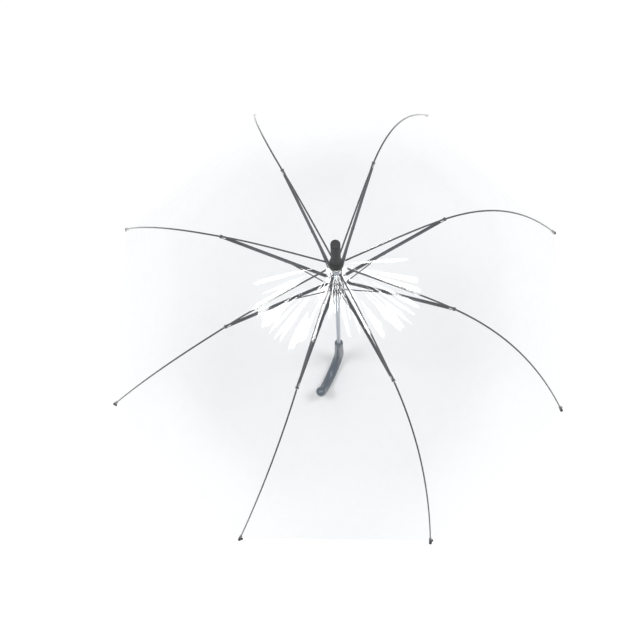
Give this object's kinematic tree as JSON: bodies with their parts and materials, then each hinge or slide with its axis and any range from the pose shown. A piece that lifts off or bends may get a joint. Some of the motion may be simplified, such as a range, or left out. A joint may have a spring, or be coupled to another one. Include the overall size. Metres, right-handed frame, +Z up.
{
  "type": "dome umbrella",
  "caption": "Clear dome umbrella with a folding rib frame, sprung upper slider, sliding runner, push-button catch, long ferrule and hooked crook handle, modelled open.",
  "frame": {"origin": "on the shaft's axis at the top of the handle, where a hand or a holder takes hold", "axes": "+Z up the shaft towards the ferrule, +X towards the free end of the crook"},
  "size_m": [0.8866, 0.8866, 0.8258],
  "materials": {
    "clear_film": "clear flexible sheet, glossy",
    "bright_steel": "drawn, plated",
    "coated_steel": "grey coat over pressed steel channel",
    "grey_fibre_rod": "glass-fibre rod, satin",
    "charcoal_plastic": "matte moulded",
    "black_plastic": "moulded, satin",
    "milky_plastic": "translucent moulded sleeve",
    "slate_plastic": "moulded, satin gloss"
  },
  "bodies": {
    "shaft": {"shaft_tube": "bright_steel", "ferrule": "charcoal_plastic", "crown_washer": "charcoal_plastic", "crown_notch": "black_plastic", "crown_wire": "bright_steel", "stop_pin": "bright_steel", "canopy": "clear_film", "crook_handle": "slate_plastic", "handle_collar": "slate_plastic"},
    "button": {"release_button": "slate_plastic", "latch_strip": "bright_steel", "button_spring": "bright_steel"},
    "slider": {"slider_notch": "black_plastic", "slider_wire": "bright_steel", "opening_spring": "bright_steel"},
    "runner": {"runner_notch": "black_plastic", "runner_sleeve": "milky_plastic"},
    "rib_1_inner": {"inner_rib_1": "grey_fibre_rod"},
    "rib_1_outer": {"outer_rib_1": "grey_fibre_rod", "tip_cap_1": "black_plastic"},
    "stretcher_1_arm": {"stretcher_1": "coated_steel"},
    "strut_1_arm": {"strut_1": "coated_steel"},
    "rib_2_inner": {"inner_rib_2": "grey_fibre_rod"},
    "rib_2_outer": {"outer_rib_2": "grey_fibre_rod", "tip_cap_2": "black_plastic"},
    "stretcher_2_arm": {"stretcher_2": "coated_steel"},
    "strut_2_arm": {"strut_2": "coated_steel"},
    "rib_3_inner": {"inner_rib_3": "grey_fibre_rod"},
    "rib_3_outer": {"outer_rib_3": "grey_fibre_rod", "tip_cap_3": "black_plastic"},
    "stretcher_3_arm": {"stretcher_3": "coated_steel"},
    "strut_3_arm": {"strut_3": "coated_steel"},
    "rib_4_inner": {"inner_rib_4": "grey_fibre_rod"},
    "rib_4_outer": {"outer_rib_4": "grey_fibre_rod", "tip_cap_4": "black_plastic"},
    "stretcher_4_arm": {"stretcher_4": "coated_steel"},
    "strut_4_arm": {"strut_4": "coated_steel"},
    "rib_5_inner": {"inner_rib_5": "grey_fibre_rod"},
    "rib_5_outer": {"outer_rib_5": "grey_fibre_rod", "tip_cap_5": "black_plastic"},
    "stretcher_5_arm": {"stretcher_5": "coated_steel"},
    "strut_5_arm": {"strut_5": "coated_steel"},
    "rib_6_inner": {"inner_rib_6": "grey_fibre_rod"},
    "rib_6_outer": {"outer_rib_6": "grey_fibre_rod", "tip_cap_6": "black_plastic"},
    "stretcher_6_arm": {"stretcher_6": "coated_steel"},
    "strut_6_arm": {"strut_6": "coated_steel"},
    "rib_7_inner": {"inner_rib_7": "grey_fibre_rod"},
    "rib_7_outer": {"outer_rib_7": "grey_fibre_rod", "tip_cap_7": "black_plastic"},
    "stretcher_7_arm": {"stretcher_7": "coated_steel"},
    "strut_7_arm": {"strut_7": "coated_steel"},
    "rib_8_inner": {"inner_rib_8": "grey_fibre_rod"},
    "rib_8_outer": {"outer_rib_8": "grey_fibre_rod", "tip_cap_8": "black_plastic"},
    "stretcher_8_arm": {"stretcher_8": "coated_steel"},
    "strut_8_arm": {"strut_8": "coated_steel"}
  },
  "joints": [
    {"name": "rib_1_fold", "type": "hinge", "parent": "shaft", "child": "rib_1_inner", "pos_m": [0.00845, 0.00093, 0.566], "axis": [-0.1097, 0.994, 0], "range_deg": [0, 71.86], "stiffness_Nm_per_rad": 0.8, "springref_deg": -57.3, "deforming": ["canopy"]},
    {"name": "stretcher_1_fold", "type": "hinge", "parent": "rib_1_inner", "child": "stretcher_1_arm", "pos_m": [0.19162, 0.02116, 0.52466], "axis": [-0.1097, 0.994, 0], "range_deg": [-143.73, 0]},
    {"name": "strut_1_fold", "type": "hinge", "parent": "stretcher_1_arm", "child": "strut_1_arm", "pos_m": [0.08446, 0.00932, 0.50048], "axis": [-0.1097, 0.994, 0], "range_deg": [0, 26.51]},
    {"name": "outer_rib_1_flex", "type": "hinge", "parent": "rib_1_inner", "child": "rib_1_outer", "pos_m": [0.19162, 0.02116, 0.52466], "axis": [0.1699, -0.9682, 0.1837], "range_deg": [0, 32.09]},
    {"name": "rib_2_fold", "type": "hinge", "parent": "shaft", "child": "rib_2_inner", "pos_m": [0.00531, 0.00663, 0.566], "axis": [-0.7804, 0.6252, 0], "range_deg": [0, 71.87]},
    {"name": "stretcher_2_fold", "type": "hinge", "parent": "rib_2_inner", "child": "stretcher_2_arm", "pos_m": [0.12054, 0.15045, 0.52466], "axis": [-0.7804, 0.6252, 0], "range_deg": [-143.73, 0]},
    {"name": "strut_2_fold", "type": "hinge", "parent": "stretcher_2_arm", "child": "strut_2_arm", "pos_m": [0.05313, 0.06632, 0.50048], "axis": [-0.7804, 0.6252, 0], "range_deg": [0, 26.51]},
    {"name": "outer_rib_2_flex", "type": "hinge", "parent": "rib_2_inner", "child": "rib_2_outer", "pos_m": [0.12054, 0.15045, 0.52466], "axis": [0.8047, -0.5645, 0.1837], "range_deg": [0, 32.09]},
    {"name": "rib_3_fold", "type": "hinge", "parent": "shaft", "child": "rib_3_inner", "pos_m": [-0.00093, 0.00845, 0.566], "axis": [-0.994, -0.1097, 0], "range_deg": [0, 71.87]},
    {"name": "stretcher_3_fold", "type": "hinge", "parent": "rib_3_inner", "child": "stretcher_3_arm", "pos_m": [-0.02116, 0.19162, 0.52466], "axis": [-0.994, -0.1097, 0], "range_deg": [-143.73, 0]},
    {"name": "strut_3_fold", "type": "hinge", "parent": "stretcher_3_arm", "child": "strut_3_arm", "pos_m": [-0.00932, 0.08446, 0.50048], "axis": [-0.994, -0.1097, 0], "range_deg": [0, 26.51]},
    {"name": "outer_rib_3_flex", "type": "hinge", "parent": "rib_3_inner", "child": "rib_3_outer", "pos_m": [-0.02116, 0.19162, 0.52466], "axis": [0.9682, 0.1699, 0.1837], "range_deg": [0, 32.09]},
    {"name": "rib_4_fold", "type": "hinge", "parent": "shaft", "child": "rib_4_inner", "pos_m": [-0.00663, 0.00531, 0.566], "axis": [-0.6252, -0.7804, 0], "range_deg": [0, 71.87]},
    {"name": "stretcher_4_fold", "type": "hinge", "parent": "rib_4_inner", "child": "stretcher_4_arm", "pos_m": [-0.15045, 0.12054, 0.52466], "axis": [-0.6252, -0.7804, 0], "range_deg": [-143.73, 0]},
    {"name": "strut_4_fold", "type": "hinge", "parent": "stretcher_4_arm", "child": "strut_4_arm", "pos_m": [-0.06632, 0.05313, 0.50048], "axis": [-0.6252, -0.7804, 0], "range_deg": [0, 26.51]},
    {"name": "outer_rib_4_flex", "type": "hinge", "parent": "rib_4_inner", "child": "rib_4_outer", "pos_m": [-0.15045, 0.12054, 0.52466], "axis": [0.5645, 0.8047, 0.1837], "range_deg": [0, 32.09]},
    {"name": "rib_5_fold", "type": "hinge", "parent": "shaft", "child": "rib_5_inner", "pos_m": [-0.00845, -0.00093, 0.566], "axis": [0.1097, -0.994, 0], "range_deg": [0, 71.87]},
    {"name": "stretcher_5_fold", "type": "hinge", "parent": "rib_5_inner", "child": "stretcher_5_arm", "pos_m": [-0.19162, -0.02116, 0.52466], "axis": [0.1097, -0.994, 0], "range_deg": [-143.73, 0]},
    {"name": "strut_5_fold", "type": "hinge", "parent": "stretcher_5_arm", "child": "strut_5_arm", "pos_m": [-0.08446, -0.00932, 0.50048], "axis": [0.1097, -0.994, 0], "range_deg": [0, 26.51]},
    {"name": "outer_rib_5_flex", "type": "hinge", "parent": "rib_5_inner", "child": "rib_5_outer", "pos_m": [-0.19162, -0.02116, 0.52466], "axis": [-0.1699, 0.9682, 0.1837], "range_deg": [0, 32.09]},
    {"name": "rib_6_fold", "type": "hinge", "parent": "shaft", "child": "rib_6_inner", "pos_m": [-0.00531, -0.00663, 0.566], "axis": [0.7804, -0.6252, 0], "range_deg": [0, 71.87]},
    {"name": "stretcher_6_fold", "type": "hinge", "parent": "rib_6_inner", "child": "stretcher_6_arm", "pos_m": [-0.12054, -0.15045, 0.52466], "axis": [0.7804, -0.6252, 0], "range_deg": [-143.73, 0]},
    {"name": "strut_6_fold", "type": "hinge", "parent": "stretcher_6_arm", "child": "strut_6_arm", "pos_m": [-0.05313, -0.06632, 0.50048], "axis": [0.7804, -0.6252, 0], "range_deg": [0, 26.51]},
    {"name": "outer_rib_6_flex", "type": "hinge", "parent": "rib_6_inner", "child": "rib_6_outer", "pos_m": [-0.12054, -0.15045, 0.52466], "axis": [-0.8047, 0.5645, 0.1837], "range_deg": [0, 32.09]},
    {"name": "rib_7_fold", "type": "hinge", "parent": "shaft", "child": "rib_7_inner", "pos_m": [0.00093, -0.00845, 0.566], "axis": [0.994, 0.1097, 0], "range_deg": [0, 71.87]},
    {"name": "stretcher_7_fold", "type": "hinge", "parent": "rib_7_inner", "child": "stretcher_7_arm", "pos_m": [0.02116, -0.19162, 0.52466], "axis": [0.994, 0.1097, 0], "range_deg": [-143.73, 0]},
    {"name": "strut_7_fold", "type": "hinge", "parent": "stretcher_7_arm", "child": "strut_7_arm", "pos_m": [0.00932, -0.08446, 0.50048], "axis": [0.994, 0.1097, 0], "range_deg": [0, 26.51]},
    {"name": "outer_rib_7_flex", "type": "hinge", "parent": "rib_7_inner", "child": "rib_7_outer", "pos_m": [0.02116, -0.19162, 0.52466], "axis": [-0.9682, -0.1699, 0.1837], "range_deg": [0, 32.09]},
    {"name": "rib_8_fold", "type": "hinge", "parent": "shaft", "child": "rib_8_inner", "pos_m": [0.00663, -0.00531, 0.566], "axis": [0.6252, 0.7804, 0], "range_deg": [0, 71.87]},
    {"name": "stretcher_8_fold", "type": "hinge", "parent": "rib_8_inner", "child": "stretcher_8_arm", "pos_m": [0.15045, -0.12054, 0.52466], "axis": [0.6252, 0.7804, 0], "range_deg": [-143.73, 0]},
    {"name": "strut_8_fold", "type": "hinge", "parent": "stretcher_8_arm", "child": "strut_8_arm", "pos_m": [0.06632, -0.05313, 0.50048], "axis": [0.6252, 0.7804, 0], "range_deg": [0, 26.51]},
    {"name": "outer_rib_8_flex", "type": "hinge", "parent": "rib_8_inner", "child": "rib_8_outer", "pos_m": [0.15045, -0.12054, 0.52466], "axis": [-0.5645, -0.8047, 0.1837], "range_deg": [0, 32.09]},
    {"name": "slider_turn", "type": "hinge", "parent": "stretcher_1_arm", "child": "slider", "pos_m": [0.00845, 0.00093, 0.48333], "axis": [-0.1097, 0.994, 0], "range_deg": [0, 71.87]},
    {"name": "runner_slide", "type": "slide", "parent": "slider", "child": "runner", "axis": [0, 0, 1], "range_m": [0, 0.0272], "deforming": ["opening_spring"]},
    {"name": "button_press", "type": "slide", "parent": "shaft", "child": "button", "axis": [1, 0, 0], "range_m": [0, 0.0025], "stiffness_N_per_m": 400, "springref_m": -0.001, "deforming": ["button_spring"]}
  ],
  "couplings": [
    {"joint": "stretcher_1_fold", "follows": "rib_1_fold", "ratio": -2},
    {"joint": "strut_1_fold", "follows": "rib_1_fold", "ratio": 0.36879},
    {"joint": "outer_rib_1_flex", "follows": "rib_1_fold", "ratio": 0.44631},
    {"joint": "rib_2_fold", "follows": "rib_1_fold", "ratio": 1},
    {"joint": "stretcher_2_fold", "follows": "rib_1_fold", "ratio": -2},
    {"joint": "strut_2_fold", "follows": "rib_1_fold", "ratio": 0.36879},
    {"joint": "outer_rib_2_flex", "follows": "rib_1_fold", "ratio": 0.44631},
    {"joint": "rib_3_fold", "follows": "rib_1_fold", "ratio": 1},
    {"joint": "stretcher_3_fold", "follows": "rib_1_fold", "ratio": -2},
    {"joint": "strut_3_fold", "follows": "rib_1_fold", "ratio": 0.36879},
    {"joint": "outer_rib_3_flex", "follows": "rib_1_fold", "ratio": 0.44631},
    {"joint": "rib_4_fold", "follows": "rib_1_fold", "ratio": 1},
    {"joint": "stretcher_4_fold", "follows": "rib_1_fold", "ratio": -2},
    {"joint": "strut_4_fold", "follows": "rib_1_fold", "ratio": 0.36879},
    {"joint": "outer_rib_4_flex", "follows": "rib_1_fold", "ratio": 0.44631},
    {"joint": "rib_5_fold", "follows": "rib_1_fold", "ratio": 1},
    {"joint": "stretcher_5_fold", "follows": "rib_1_fold", "ratio": -2},
    {"joint": "strut_5_fold", "follows": "rib_1_fold", "ratio": 0.36879},
    {"joint": "outer_rib_5_flex", "follows": "rib_1_fold", "ratio": 0.44631},
    {"joint": "rib_6_fold", "follows": "rib_1_fold", "ratio": 1},
    {"joint": "stretcher_6_fold", "follows": "rib_1_fold", "ratio": -2},
    {"joint": "strut_6_fold", "follows": "rib_1_fold", "ratio": 0.36879},
    {"joint": "outer_rib_6_flex", "follows": "rib_1_fold", "ratio": 0.44631},
    {"joint": "rib_7_fold", "follows": "rib_1_fold", "ratio": 1},
    {"joint": "stretcher_7_fold", "follows": "rib_1_fold", "ratio": -2},
    {"joint": "strut_7_fold", "follows": "rib_1_fold", "ratio": 0.36879},
    {"joint": "outer_rib_7_flex", "follows": "rib_1_fold", "ratio": 0.44631},
    {"joint": "rib_8_fold", "follows": "rib_1_fold", "ratio": 1},
    {"joint": "stretcher_8_fold", "follows": "rib_1_fold", "ratio": -2},
    {"joint": "strut_8_fold", "follows": "rib_1_fold", "ratio": 0.36879},
    {"joint": "outer_rib_8_flex", "follows": "rib_1_fold", "ratio": 0.44631},
    {"joint": "slider_turn", "follows": "rib_1_fold", "ratio": 1},
    {"joint": "runner_slide", "follows": "rib_1_fold", "m_per_rad": 0.021677}
  ]
}
